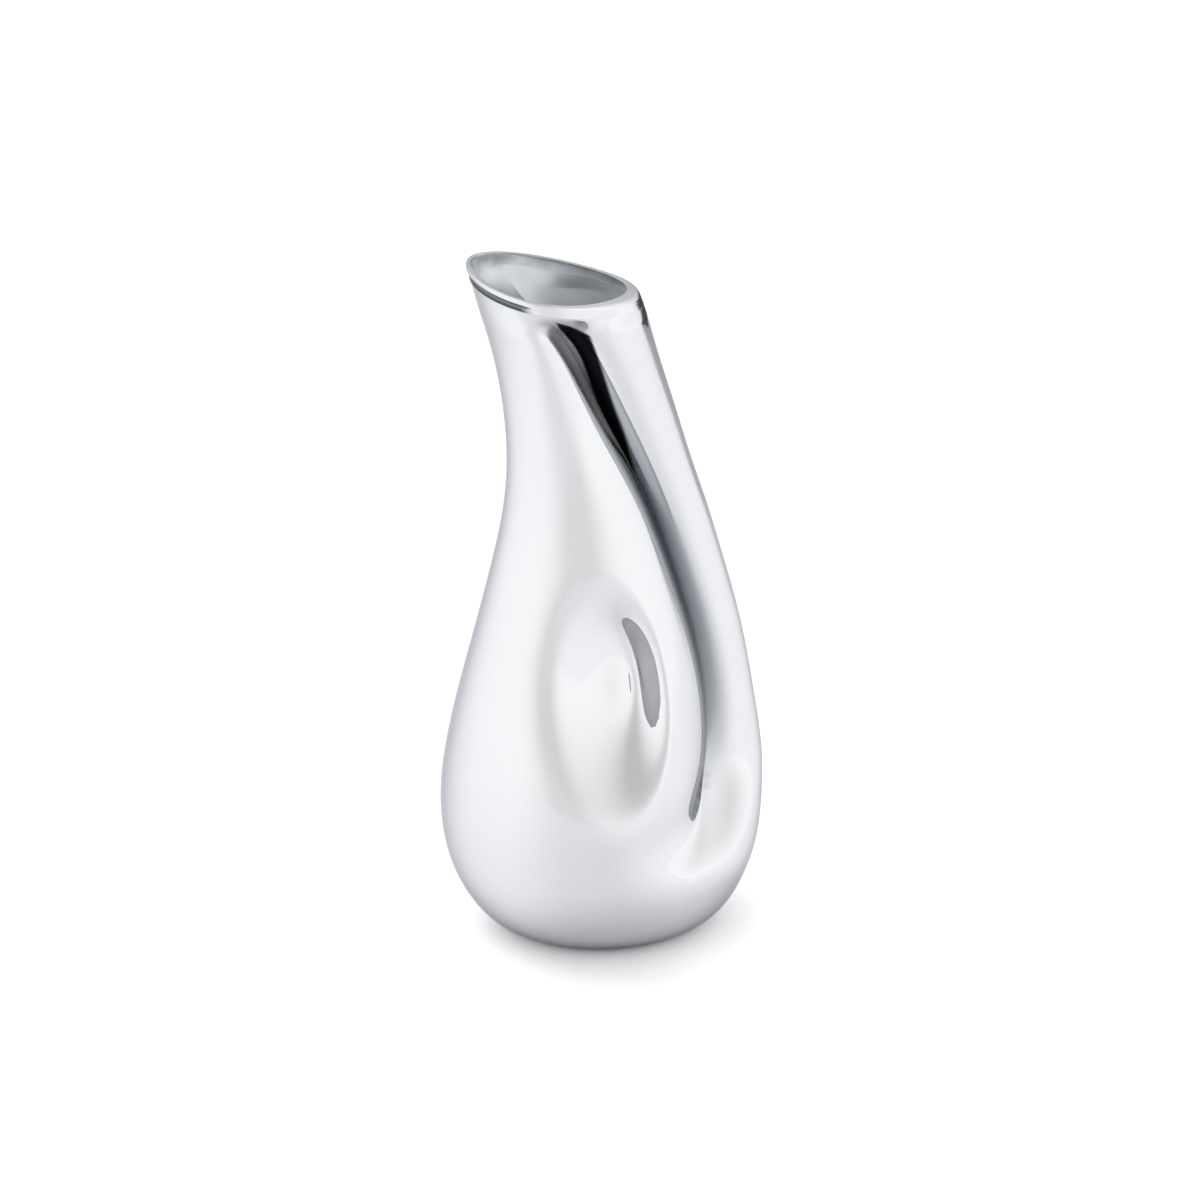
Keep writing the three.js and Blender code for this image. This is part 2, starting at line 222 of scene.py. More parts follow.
print("rim heights at the spout and the back, mm:", np.round(column_top(np.array([0.0, 1.0])), 1))

# %% Thumb hollow and outer wall
def thumb_hollow(x, z):
    """Depth pressed in at a point of the side view. The level lines are ellipses that
    crowd towards the handle, so the front slope is long and the rear wall is steep."""
    px = (x - DENT_X) / (DENT_WIDTH / 2) - DENT_LEAN[0]
    pz = (z - DENT_Z) / (DENT_LENGTH / 2) - DENT_LEAN[1]
    along = px * DENT_LEAN[0] + pz * DENT_LEAN[1]
    rest = 1 - DENT_LEAN[0] ** 2 - DENT_LEAN[1] ** 2
    ring = (along + np.sqrt(along**2 + rest * (px**2 + pz**2))) / rest
    return DENT_DEPTH * (1 - soft_step(ring, DENT_FLOOR, 1))


def outer_wall(side, rise, drop=0.0):
    """Points of the outer wall on the +Y side, in mm, as an array of shape (..., 3)."""
    side, rise = np.broadcast_arrays(np.asarray(side, float), np.asarray(rise, float))
    turn = -np.minimum(rise, 0) * np.pi / 2
    low = BOTTOM_CURVE * (1 - np.sin(turn) ** (2 / BOTTOM_POWER))
    z = np.where(rise < 0, low, mix(BOTTOM_CURVE, column_top(side, drop), rise))
    drawn_in = mix(BASE_SHARE, 1, np.maximum(np.cos(turn), 0) ** (2 / BOTTOM_POWER))
    x, y = (part * drawn_in for part in section(z, side))
    y = y - thumb_hollow(x, z) * soft_step(y, *DENT_CLEAR)
    return np.stack([x, y, z * stretch_z], -1)


def wall_normal(side, rise, drop=0.0, in_lobe=None, step=0.001):
    """Unit normal out of the wall, from small steps that stay on one side of the valley."""
    side, rise = np.broadcast_arrays(np.asarray(side, float), np.asarray(rise, float))
    in_lobe = side <= CREASE if in_lobe is None else np.full(side.shape, in_lobe)
    low, high = np.where(in_lobe, 0, CREASE), np.where(in_lobe, CREASE, 1)
    before, after = np.maximum(side - step, low), np.minimum(side + step, high)
    along = outer_wall(after, rise, drop) - outer_wall(before, rise, drop)
    below, above = np.maximum(rise - step, -1), np.minimum(rise + step, 1)
    climb = outer_wall(side, above, drop) - outer_wall(side, below, drop)
    normal = np.cross(climb, along)
    middle = (side == 0) | (side == 1)
    normal[..., 1] = np.where(middle, 0, normal[..., 1])
    normal[rise == -1] = 0, 0, -1
    return normal / np.linalg.norm(normal, axis=-1, keepdims=True)


print("spout tip, mm:", np.round(outer_wall(0, 1), 1))

# %% [markdown]
# ## From grids to sheets
#
# Silver sheet has a real thickness: it shows at the mouth, and it is what makes the
# shells solids that could be weighed. Each shell is an outer grid, an inner grid one wall
# thickness behind it, and strips that close the four edges. A Solidify modifier would do
# this too, but it knows only one shell at a time, and here two shells must share each
# seam, so the offset direction at the valley is the mitre between both sheets.
#
# Shading uses the exact normals of the curves and not the average of the facets. That
# way a reflection runs over a soldered seam as if it weren't there. Low on the belly the
# valley is filed round, so there the normals of both sheets are blended over a few
# millimetres.

# %% Shell grids
LOBE_COLUMNS, TUBE_COLUMNS = 110, 84
BOTTOM_ROWS, SIDE_ROWS = 36, 200
LIP_DEPTH = 2.7          # mm of the rim that belong to the rim wire
OUTSIDE, INSIDE = 0, 1   # material places: polished outside, satin inside
FILED_HEIGHT = (24, 52)  # mm: the valley is filed round below and a sharp crease above
FILED_REACH = 8          # mm that the filing reaches to each side of the valley


def shell_grid(start, stop, columns):
    """Outer points, inner points and outer normals of the +Y wall between two columns."""
    side = np.linspace(start, stop, columns + 1)[None, :]
    bottom = np.linspace(-1, 0, BOTTOM_ROWS, endpoint=False)
    rise = np.concatenate([bottom, np.linspace(0, 1, SIDE_ROWS + 1)])[:, None]
    in_lobe = start < CREASE
    normal = wall_normal(side, rise, LIP_DEPTH, in_lobe)
    mitre = normal.copy()
    edge = -1 if in_lobe else 0
    across = wall_normal(side, rise, LIP_DEPTH, not in_lobe)[:, edge]
    mitre[:, edge] += across
    mitre[-1] -= (mitre[-1] @ RIM_UP)[:, None] * RIM_UP
    mitre /= np.linalg.norm(mitre, axis=-1, keepdims=True)
    outer = outer_wall(side, rise, LIP_DEPTH)
    filed = 1 - soft_step(outer[:, edge, 2:], *FILED_HEIGHT)
    weight = filed * (1 - soft_step(valley_distance(outer, edge), 0, FILED_REACH))
    normal = normal + (across - normal[:, edge])[:, None] / 2 * weight[..., None]
    normal /= np.linalg.norm(normal, axis=-1, keepdims=True)
    return outer, outer - mitre * WALL, normal


def valley_distance(outer, edge):
    """How far each point lies from the valley, measured along its level, in mm."""
    path = outer if edge == 0 else outer[:, ::-1]
    steps = np.linalg.norm(np.diff(path, axis=1), axis=-1)
    run = np.pad(np.cumsum(steps, axis=1), ((0, 0), (1, 0)))
    return run if edge == 0 else run[:, ::-1]


def mirrored(grid):
    """The same grid on the -Y side, with its columns turned round to face outwards."""
    return (grid * (1, -1, 1))[:, ::-1]


def joined(near, far):
    """Two grids that share the back line, as one grid from valley to valley."""
    return np.concatenate([near, far[:, 1:]], 1)


side_shell = shell_grid(0, CREASE, LOBE_COLUMNS)
half_handle = shell_grid(CREASE, 1, TUBE_COLUMNS)
print("rows and columns of a side shell:", side_shell[0].shape[:2], "and of half the handle:",
      half_handle[0].shape[:2])

# %% [markdown]
# ## Where the mop can't reach
# A polishing mop is a soft wheel as broad as a hand, so it never gets into the valley
# beside the handle, and the silver there stays matt. Two more marks are painted light: a
# grey painted shade that darkens the handle's flank towards the valley, and, in the deepest
# stretch under the mouth, a black painted reflection on the handle's flank. Silver
# sold as "oxidised" is blackened like this on purpose.
#
# A mask could be painted by hand or drawn with a texture, but the marks follow the valley.
# So each mark is worked out for every point of the grid, from its height and its distance
# to the valley, and stored on the mesh as a layer that the finish reads.

# %% Matt silver, painted grey shade and painted black reflection
# The black layer is a painted reflection: it stands in for the dark streak that the handle's flank
# mirrors beside the valley.
groove_start = strip_curve([(88, 0.6), (110, 0.62), (115, 0.628), (120, 0.639), (125.5, 0.645),
                            (130, 0.638), (135, 0.634)], 1)
groove_end = strip_curve([(88, 0.6), (92, 0.615), (98, 0.64), (105, 0.674), (111, 0.684),
                          (116, 0.69), (123, 0.698), (128, 0.705), (131.5, 0.708), (135, 0.7)], 1)
GROOVE_LOW, GROOVE_TOP = (88, 100), (132.5, 133.7)  # mm of height over which the black fades
GROOVE_SLANT, GROOVE_MIDDLE = 60, 0.655             # mm per side that its top climbs to the valley
GROOVE_EDGE, GROOVE_BLUR = 0.002, (0.012, 0.003)    # softness of its edges, as shares of the side
GROOVE_SHARPENS = (95, 130)                         # mm of height over which the blur gets less

# The grey layer is painted shade, darkest at the valley and fading away from it.
GREY_LOW, GREY_TOP = (22, 40), (112, 128)           # mm of height over which the grey fades
GREY_REACH, GREY_WIDENS = (6, 6.5), (25, 90)        # mm beside the valley, and over which heights
GREY_DEPTH, GREY_DEEPENS = (0.35, 1), (30, 95)      # how grey, and over which heights
GREY_EDGE, MATT_EDGE = (0.2, 1.2), (0.3, 1.2)       # shares of their reach over which they fade

MATT_LOW = (24, 40)                                 # mm of height over which the matt strip starts
MATT_ON_HANDLE, HANDLE_NARROWS = (7, 3), (80, 100)  # mm beside the valley, and where that changes
MATT_ON_BODY, BODY_WIDENS = (2.5, 7.5), (95, 112)
COLLAR_LOW, COLLAR_REACH = (129.5, 131.5), (4, 9)   # the matt patch where the valley ends


def groove_tone(grid):
    """How strongly a black painted reflection darkens the handle's flank."""
    side = np.linspace(CREASE, 1, grid[0].shape[1])[None, :]
    z = grid[0][..., 2] / stretch_z
    blur = mix(*GROOVE_BLUR, soft_step(z, *GROOVE_SHARPENS))
    slanted = z + GROOVE_SLANT * (side - GROOVE_MIDDLE)
    ends = soft_step(z, *GROOVE_LOW) * (1 - soft_step(slanted, *GROOVE_TOP))
    begins = soft_step(side - groove_start(z), -GROOVE_EDGE, GROOVE_EDGE)
    return ends * begins * soft_step(groove_end(z) - side, -blur, blur)


def valley_grey(grid):
    """How strongly painted shade greys the handle's flank beside the valley."""
    z = grid[0][..., 2] / stretch_z
    reach = mix(*GREY_REACH, soft_step(z, *GREY_WIDENS))
    depth = mix(*GREY_DEPTH, soft_step(z, *GREY_DEEPENS))
    ends = soft_step(z, *GREY_LOW) * (1 - soft_step(z, *GREY_TOP))
    return depth * ends * (1 - soft_step(valley_distance(grid[0], 0) / reach, *GREY_EDGE))


def valley_matt(grid, edge):
    """How matt the wall is in the valley, and in the hollow where the valley ends."""
    z = grid[0][..., 2] / stretch_z
    away = valley_distance(grid[0], edge)
    on_handle = mix(*MATT_ON_HANDLE, soft_step(z, *HANDLE_NARROWS))
    reach = on_handle if edge == 0 else mix(*MATT_ON_BODY, soft_step(z, *BODY_WIDENS))
    valley = soft_step(z, *MATT_LOW) * (1 - soft_step(away / reach, *MATT_EDGE))
    hollow = soft_step(z, *COLLAR_LOW) * (1 - soft_step(away, *COLLAR_REACH))
    return np.maximum(valley, hollow)


side_matt = valley_matt(side_shell, -1)
half_layers = [("groove_tone", groove_tone(half_handle)), ("valley_grey", valley_grey(half_handle)),
               ("valley_matt", valley_matt(half_handle, 0))]
for kind, values in half_layers:
    print(f"{kind}: on {np.mean(values > 0.5):.0%} of half the handle's points")

# %% [markdown]
# ## From points to objects
#
# `from_pydata` takes the points and faces as plain lists. The quads of a shell come in
# three groups, the outer grid, the inner grid with its faces turned round, and the strips
# along the four edges, so that the sheet is closed like a real solid.

# %% Sheet mesh
def sheet_faces(rows, columns):
    """Faces of a closed sheet: outer grid, inner grid behind it, and the four edges."""
    grid = np.arange(rows * columns).reshape(rows, columns)
    quads = np.stack([grid[:-1, :-1], grid[1:, :-1], grid[1:, 1:], grid[:-1, 1:]], -1)
    outer = quads.reshape(-1, 4)
    inner = outer[:, ::-1] + rows * columns
    loop = np.concatenate([grid[:, 0], grid[-1, 1:], grid[-2::-1, -1], grid[0, -2:0:-1]])
    ahead = np.roll(loop, -1)
    rim = np.stack([ahead, loop, loop + rows * columns, ahead + rows * columns], -1)
    return outer, inner, rim


def make_mesh(name, points, faces, places, normals=None):
    """Object at the origin from points in mm, with a material place for each face."""
    mesh = bpy.data.meshes.new(name)
    mesh.from_pydata((np.asarray(points) * MM).tolist(), [], [list(map(int, f)) for f in faces])
    mesh.polygons.foreach_set("material_index", np.asarray(places, np.int32))
    mesh.polygons.foreach_set("use_smooth", np.ones(len(faces), bool))
    if normals is not None:
        mesh.normals_split_custom_set_from_vertices(np.asarray(normals).tolist())
    piece = bpy.data.objects.new(name, mesh)
    bpy.context.collection.objects.link(piece)
    return piece


def add_layers(piece, layers):
    """Store one value per point under each name, for the finishes to read."""
    for kind, values in layers:
        layer = piece.data.attributes.new(kind, "FLOAT", "POINT")
        layer.data.foreach_set("value", np.asarray(values, np.float32))


def make_shell(name, outer, inner, normal, layers=()):
    """Shell object. Each layer is a name and a value for every outer point."""
    rows, columns = outer.shape[:2]
    faces = sheet_faces(rows, columns)
    places = np.repeat([OUTSIDE, INSIDE, OUTSIDE], [len(part) for part in faces])
    points = np.concatenate([outer.reshape(-1, 3), inner.reshape(-1, 3)])
    normals = np.concatenate([normal.reshape(-1, 3), -normal.reshape(-1, 3)])
    shell = make_mesh(name, points, np.concatenate(faces), places, normals)
    add_layers(shell, [(kind, np.append(values, np.zeros(values.size))) for kind, values in layers])
    print(f"{name}: {len(points)} points, {len(shell.data.polygons)} faces")
    return shell


# %% The three shells
body_left = make_shell("body_left_shell", *side_shell, [("valley_matt", side_matt)])
body_right = make_shell("body_right_shell", *(mirrored(grid) for grid in side_shell),
                        [("valley_matt", side_matt[:, ::-1])])
layers = [(kind, np.concatenate([half, half[:, -2::-1]], 1)) for kind, half in half_layers]
handle = make_shell("handle_tube_shell", *(joined(grid, mirrored(grid)) for grid in half_handle), layers)

# %% [markdown]
# ## The rim wire
#
# A thin sheet edge would be sharp on the lip and easy to dent, so the smith solders a wire
# on it. At the spout the wire has a cove below it, a small hollow that cuts the last drop;
# its darkness is painted shade. Towards the handle the cove runs out and
# the wire is filed flush, so the lip runs straight into the handle.
#
# A curve with a bevel object would carry only one section. This section changes on the
# way, so it is worked out anew for each station and joined to the next by quads.

# %% Rim wire
RIM_STATIONS = 260
LIP_SAMPLES, LIP_CORNERS = 72, 17
COVE_DEPTH = 0.85              # mm that the cove goes in, at the spout
COVE_ENDS = (0.42, 0.62)       # shares of the side over which it runs out
COVE_BLACK = 0.35              # how far the cove's painted shade goes towards black
COVE_FIRST, COVE_LAST = (1.2, 2.2), (5.4, 6.3)  # corners over which its dark starts and ends
LIP_REACH = (1.66, 1.1, 2.4)   # mm from the wall's outside to the inner edge: spout, side, back
LIP_FILED = (0.45, 0.7)        # shares of the side over which the wire gets filed flush
INNER_SHARE = 0.7              # share of the section after which it faces into the jug


def rim_path(turn):
    """Side share and mirror sign for a turn of 0..2 round the mouth, from the spout."""
    turn = np.mod(turn, 2)
    return np.where(turn <= 1, turn, 2 - turn), np.where(turn <= 1, 1, -1)


def rim_frames(turn):
    """Wall points at LIP_DEPTH below the rim and at the rim, with the outward normals."""
    side, sign = rim_path(turn)
    flip = np.stack([np.ones_like(sign), sign, np.ones_like(sign)], -1)
    foot, edge = outer_wall(side, 1, LIP_DEPTH) * flip, outer_wall(side, 1) * flip
    out = np.cross(np.roll(edge, -1, 0) - np.roll(edge, 1, 0), RIM_UP)
    return side, foot, edge, -out / np.linalg.norm(out, axis=-1, keepdims=True)


def closed_curve(corners, count):
    """Smooth closed curve through 2-D corners (Catmull-Rom), sampled at count points."""
    corners = np.asarray(corners, float)
    at = np.linspace(0, len(corners), count, endpoint=False)
    i = at.astype(int)
    t = (at - i)[:, None]
    p = [corners[(i + k) % len(corners)] for k in (-1, 0, 1, 2)]
    return 0.5 * (2 * p[1] + (p[2] - p[0]) * t + (2 * p[0] - 5 * p[1] + 4 * p[2] - p[3]) * t**2
                  + (3 * p[1] - p[0] - 3 * p[2] + p[3]) * t**3)


def lip_section(cove, reach, filed):
    """Section of the wire as (height over the foot, distance out of the wall), in mm."""
    top, soft = LIP_DEPTH, 0.25 * filed * reach
    return [(0, -0.05), (0.04, 0), (0.15, -0.3 * cove), (0.45, -0.8 * cove), (0.85, -cove),
            (1.2, -0.8 * cove), (1.42, -0.2 * cove - 0.02 * filed), (1.75, -0.1 * soft),
            (2.3, -0.1 - 0.5 * soft), (top - 0.08, -0.3 * reach - soft), (top, -0.65 * reach),
            (top - 0.12, 0.06 - reach), (top - 0.4, 0.12 - reach), (top - 0.7, -WALL - 0.06),
            (0.8, -WALL), (0.04, -WALL), (0, 0.05 - WALL)]


def lip_reach(side):
    """How far the wire reaches in from the wall's outside, in mm."""
    spout, flank, back = LIP_REACH
    return mix(mix(spout, flank, soft_step(side, 0, 0.35)), back, soft_step(side, 0.55, 1))


def rim_rings():
    """Rings of points round the mouth, in mm, and how strongly painted shade darkens the cove at each
    point.
    """
    rings, dark = [], []
    corner = np.arange(LIP_SAMPLES) * LIP_CORNERS / LIP_SAMPLES
    in_cove = soft_step(corner, *COVE_FIRST) * (1 - soft_step(corner, *COVE_LAST))
    turns = np.linspace(0, 2, RIM_STATIONS, endpoint=False)
    for side, foot, edge, out in zip(*rim_frames(turns)):
        cove = COVE_DEPTH * (1 - soft_step(side, *COVE_ENDS))
        corners = lip_section(cove, lip_reach(side), soft_step(side, *LIP_FILED))
        profile = closed_curve(corners, LIP_SAMPLES)
        rings.append(foot + profile[:, :1] / LIP_DEPTH * (edge - foot) + profile[:, 1:] * out)
        dark.append(in_cove * cove / COVE_DEPTH)
    return np.array(rings), np.ravel(dark)


def ring_faces(rings, samples):
    """Quads of a closed tube of rings, facing outwards."""
    grid = np.arange(rings * samples).reshape(rings, samples)
    ahead, over = np.roll(grid, -1, 0), np.roll(grid, -1, 1)
    return np.stack([grid, over, np.roll(ahead, -1, 1), ahead], -1).reshape(-1, 4)


rim_points, cove_shade = rim_rings()
rim_faces = ring_faces(RIM_STATIONS, LIP_SAMPLES)
inner_samples = np.arange(LIP_SAMPLES) >= INNER_SHARE * LIP_SAMPLES
rim_places = np.tile(np.where(inner_samples, INSIDE, OUTSIDE), RIM_STATIONS)
rim_wire = make_mesh("rim_wire_lip", rim_points.reshape(-1, 3), rim_faces, rim_places)
# The cove's darkness is painted shade, carried by the grey and black layers.
add_layers(rim_wire, [("valley_grey", cove_shade), ("valley_matt", cove_shade),
                      ("groove_tone", COVE_BLACK * cove_shade)])
print("rim wire:", len(rim_faces), "faces")

# %% [markdown]
# ## The base plate
#
# The underside is a flat plate let into the hole that the shells leave. It was turned on
# a lathe, so it carries fine rings, and it is the face that the jug stands on. Its rim is
# eased a little, which leaves the hairline that marks it off from the body.

# %% Base plate
PLATE_THICK = 1.2
PLATE_EASE = 0.25        # mm of the eased edge
PLATE_RINGS = 24
PLATE_STEPS = 119        # steps along the outline from the spout side to the handle side
PLATE_INNER = 0.94       # share of the plate's narrowest half width that the rings cover


def base_plate():
    """Plate with an eased edge, rings of quads below and a fan of triangles at each centre."""
    half = outer_wall(np.linspace(0, 1, PLATE_STEPS + 1)[None, :], -1)
    rim = joined(half, mirrored(half))[0, :-1, :2]
    count = len(rim)
    reach = np.linalg.norm(rim, axis=1, keepdims=True)
    inner = PLATE_INNER * reach.min()
    rings = [(0.05, PLATE_THICK), (0.0, PLATE_THICK / 2), (0.0, PLATE_EASE), (0.1, 0.06),
             (PLATE_EASE, 0)]
    rings += [(float(gap), 0) for gap in np.linspace(1, inner, PLATE_RINGS)]
    points = [np.column_stack([rim * (1 - gap / reach), np.full(count, z)]) for gap, z in rings]
    faces = []
    for k in range(len(rings) - 1):
        a = np.arange(count) + k * count
        faces += np.stack([a, a + count, np.roll(a, -1) + count, np.roll(a, -1)], -1).tolist()
    last, centre = (len(rings) - 1) * count, len(rings) * count
    faces += [[last + i, centre, last + (i + 1) % count] for i in range(count)]
    faces += [[i, (i + 1) % count, centre + 1] for i in range(count)]
    points = np.vstack([*points, (0, 0, 0), (0, 0, PLATE_THICK)])
    return make_mesh("base_plate", points, faces, np.zeros(len(faces)))


base = base_plate()
print("base plate:", len(base.data.polygons), "faces")

# %% [markdown]
# ## Finishes
#
# Every finish is a small tree of nodes. Two helpers are enough for all of them: one turns
# an sRGB hex colour into the linear numbers that light
# is computed with, and one adds a node with its settings and its links.

# %% Colour and node helpers
def linear(hex_colour, alpha=1.0):
    """Linear RGBA from an sRGB hex string such as "#e8eaec"."""
    parts = [int(hex_colour[i:i + 2], 16) / 255 for i in (1, 3, 5)]
    return [p / 12.92 if p <= 0.04045 else ((p + 0.055) / 1.055) ** 2.4 for p in parts] + [alpha]


def add_node(tree, kind, inputs=(), **settings):
    """Adds a node. Each input gets a value, or a link if the value is another socket."""
    node = tree.nodes.new(kind)
    for name, value in settings.items():
        setattr(node, name, value)
    for name, value in dict(inputs).items():
        if isinstance(value, bpy.types.NodeSocket):
            tree.links.new(value, node.inputs[name])
        else:
            node.inputs[name].default_value = value
    return node


def start_material(name):
    """Empty material: its node tree and the position on the object in metres."""
    material = bpy.data.materials.new(name)
    material.use_nodes = True
    tree = material.node_tree
    tree.nodes.clear()
    return material, tree, add_node(tree, "ShaderNodeTexCoord").outputs["Object"]


def noise_scale(period_mm):
    """Scale of a noise texture whose bumps are about this far apart."""
    return 1 / (period_mm * MM)


print("#808080 is", round(linear("#808080")[0], 3), "of full light")

# %% [markdown]
# ## Polished silver
#
# Fine silver reflects about 95 % of the light that meets it, almost evenly over the
# colours, so nearly all that the eye sees is the room. Three faint things still tell it
# from a perfect mirror. Hammering and spinning leave a broad waviness, a few microns deep
# over a centimetre, which makes reflections swim. The polishing mop leaves short
# hairlines. And a cloth leaves patches that are a touch hazier than the rest.
#
# The base colour is darker than pure silver's, because the jug has a thin tarnish. The
# three layers of the mesh are laid over it: painted grey shade and matt roughness in the
# valley and the cove, then painted black, a dark reflection on the handle and deeper shade
# in the cove. The specular tint sets how bright the metal gets at a glancing view, along
# its outline.

# %% Polished silver
VALLEY_ROUGHNESS = 0.5   # added where a layer says that the silver is fully matt


def polished_silver():
    material, tree, place = start_material("silver, mop polished")
    waves = add_node(tree, "ShaderNodeTexNoise", {
        "Vector": place, "Scale": noise_scale(14), "Detail": 0.0})
    swim = add_node(tree, "ShaderNodeBump", {
        "Height": waves.outputs["Fac"], "Strength": 1.0, "Distance": 0.012 * MM})
    lay = add_node(tree, "ShaderNodeMapping", {
        "Vector": place, "Rotation": (0.3, 0.5, 0.2), "Scale": (1, 1, 0.06)})
    hairlines = add_node(tree, "ShaderNodeTexNoise", {
        "Vector": lay.outputs["Vector"], "Scale": noise_scale(0.5), "Detail": 3.0})
    scratched = add_node(tree, "ShaderNodeBump", {
        "Height": hairlines.outputs["Fac"], "Strength": 1.0, "Distance": 0.0006 * MM,
        "Normal": swim.outputs["Normal"]})
    patches = add_node(tree, "ShaderNodeTexNoise", {
        "Vector": place, "Scale": noise_scale(22), "Detail": 4.0})
    haze = add_node(tree, "ShaderNodeMapRange", {
        "Value": patches.outputs["Fac"], "From Min": 0.4, "From Max": 0.7,
        "To Min": 0.025, "To Max": 0.07})
    # The grey and black layers are painted light: #959ba2 is painted shade, #141518 a painted black
    # reflection on the handle and painted shade in the cove.
    grey_layer = add_node(tree, "ShaderNodeAttribute", attribute_name="valley_grey")
    matt_layer = add_node(tree, "ShaderNodeAttribute", attribute_name="valley_matt")
    black_layer = add_node(tree, "ShaderNodeAttribute", attribute_name="groove_tone")
    grey = add_node(tree, "ShaderNodeMix", {
        "Factor": grey_layer.outputs["Fac"], "A": linear("#cacbcd"), "B": linear("#959ba2")},
        data_type="RGBA")
    colour = add_node(tree, "ShaderNodeMix", {
        "Factor": black_layer.outputs["Fac"], "A": grey.outputs["Result"], "B": linear("#141518")},
        data_type="RGBA")
    dull = add_node(tree, "ShaderNodeMath", {
        0: matt_layer.outputs["Fac"], 1: VALLEY_ROUGHNESS, 2: haze.outputs["Result"]},
        operation="MULTIPLY_ADD")
    shader = add_node(tree, "ShaderNodeBsdfPrincipled", {
        "Base Color": colour.outputs["Result"], "Metallic": 1.0, "Roughness": dull.outputs["Value"],
        "Specular Tint": linear("#c0c1c5"), "Normal": scratched.outputs["Normal"]})
    add_node(tree, "ShaderNodeOutputMaterial", {"Surface": shader.outputs["BSDF"]})
    return material


polished = polished_silver()
print(polished.name + ":", len(polished.node_tree.nodes), "nodes")

# %% [markdown]
# ## Satin silver
#
# The inside of a narrow jug can't be reached with a polishing mop. It keeps the fine matt
# bloom of pickling and brushing, so it spreads light instead of mirroring it, and looks
# grey beside the outside. The bloom is uneven where the brush reached further down.
#
# Close under the rim the colour is darker, in a band.
# Its lower edge is ragged, because the bloom is added to the height before it is measured.

# %% Satin silver
MOUTH_LEVEL = float(np.array([MOUTH_X, 0, MOUTH_Z * stretch_z]) @ RIM_UP)
RIM_BAND_START, RIM_BAND_FULL = 1.5, 5.5   # mm past the rim's level, once the ragged part is added
RIM_BAND_RAGGED = 9                    # mm that the bloom adds at its strongest


def satin_silver():
    material, tree, place = start_material("silver, brushed satin inside")
    bloom = add_node(tree, "ShaderNodeTexNoise", {
        "Vector": place, "Scale": noise_scale(9), "Detail": 5.0})
    tone = add_node(tree, "ShaderNodeMix", {
        "Factor": bloom.outputs["Fac"], "A": linear("#d6dade"), "B": linear("#f3f4f5")},
        data_type="RGBA")
    level = add_node(tree, "ShaderNodeVectorMath", {0: place, 1: tuple(RIM_UP)}, operation="DOT_PRODUCT")
    ragged = add_node(tree, "ShaderNodeMath", {
        0: bloom.outputs["Fac"], 1: RIM_BAND_RAGGED * MM, 2: level.outputs["Value"]},
        operation="MULTIPLY_ADD")
    near_rim = add_node(tree, "ShaderNodeMapRange", {
        "Value": ragged.outputs["Value"], "From Min": (MOUTH_LEVEL + RIM_BAND_START) * MM,
        "From Max": (MOUTH_LEVEL + RIM_BAND_FULL) * MM}, interpolation_type="SMOOTHSTEP")
    rim_band = add_node(tree, "ShaderNodeMix", {
        "Factor": near_rim.outputs["Result"], "A": tone.outputs["Result"], "B": linear("#a0a7ae")},
        data_type="RGBA")
    grain = add_node(tree, "ShaderNodeTexNoise", {
        "Vector": place, "Scale": noise_scale(0.35), "Detail": 2.0})
    bump = add_node(tree, "ShaderNodeBump", {
        "Height": grain.outputs["Fac"], "Strength": 0.35, "Distance": 0.02 * MM})
    dull = add_node(tree, "ShaderNodeMapRange", {
        "Value": bloom.outputs["Fac"], "From Min": 0.3, "From Max": 0.7,
        "To Min": 0.62, "To Max": 0.78})
    shader = add_node(tree, "ShaderNodeBsdfPrincipled", {
        "Base Color": rim_band.outputs["Result"], "Metallic": 1.0, "Roughness": dull.outputs["Result"],
        "Normal": bump.outputs["Normal"]})
    add_node(tree, "ShaderNodeOutputMaterial", {"Surface": shader.outputs["BSDF"]})
    return material


satin = satin_silver()
print(satin.name + ":", len(satin.node_tree.nodes), "nodes")

# %% [markdown]
# ## Turned silver
#
# The plate under the jug comes off a lathe. Its tool leaves rings, here drawn 0.8 mm apart
# where the real ones are finer, so that they show. They stretch each highlight into two
# fans, as on any turned disc.

# %% Turned silver
RING_SPACING = 0.8       # mm
WAVE_PERIODS = 20 / (2 * math.pi)  # rings that a wave texture of scale 1 draws in one unit


def turned_silver():
    material, tree, place = start_material("silver, lathe turned")
    rings = add_node(tree, "ShaderNodeTexWave", {
        "Vector": place, "Scale": 1 / (WAVE_PERIODS * RING_SPACING * MM), "Distortion": 0.3},
        wave_type="RINGS", rings_direction="Z")
    bump = add_node(tree, "ShaderNodeBump", {
        "Height": rings.outputs["Fac"], "Strength": 0.5, "Distance": 0.02 * MM})
    tone = add_node(tree, "ShaderNodeMix", {
        "Factor": rings.outputs["Fac"], "A": linear("#b4bac0"), "B": linear("#cfd3d7")},
        data_type="RGBA")
    shader = add_node(tree, "ShaderNodeBsdfPrincipled", {
        "Base Color": tone.outputs["Result"], "Metallic": 1.0, "Roughness": 0.28,
        "Normal": bump.outputs["Normal"]})
    add_node(tree, "ShaderNodeOutputMaterial", {"Surface": shader.outputs["BSDF"]})
    return material


turned = turned_silver()
print(turned.name + ":", len(turned.node_tree.nodes), "nodes")

# %% [markdown]
# ## Finishes on the pieces
#
# A piece's materials are numbered by its slots: the polished outside comes first and the
# satin inside second, as the shells' faces expect. Each piece rides on the jug's one body
# and stands for the piece of the frame that it refines.

# %% Give each piece its finish and its place in the frame
parts = [
    (body_left, "body_left", "polished_silver", [polished, satin]),
    (body_right, "body_right", "polished_silver", [polished, satin]),
    (handle, "handle_shell", "polished_silver", [polished, satin]),
    (rim_wire, "rim_wire", "polished_silver", [polished, satin]),
    (base, "base_disc", "satin_silver", [turned]),
]
for piece, node, slot, finishes in parts:
    for finish in finishes:
        piece.data.materials.append(finish)
    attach(piece, "root")
    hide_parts(node)
    print(piece.name, "stands for", node)
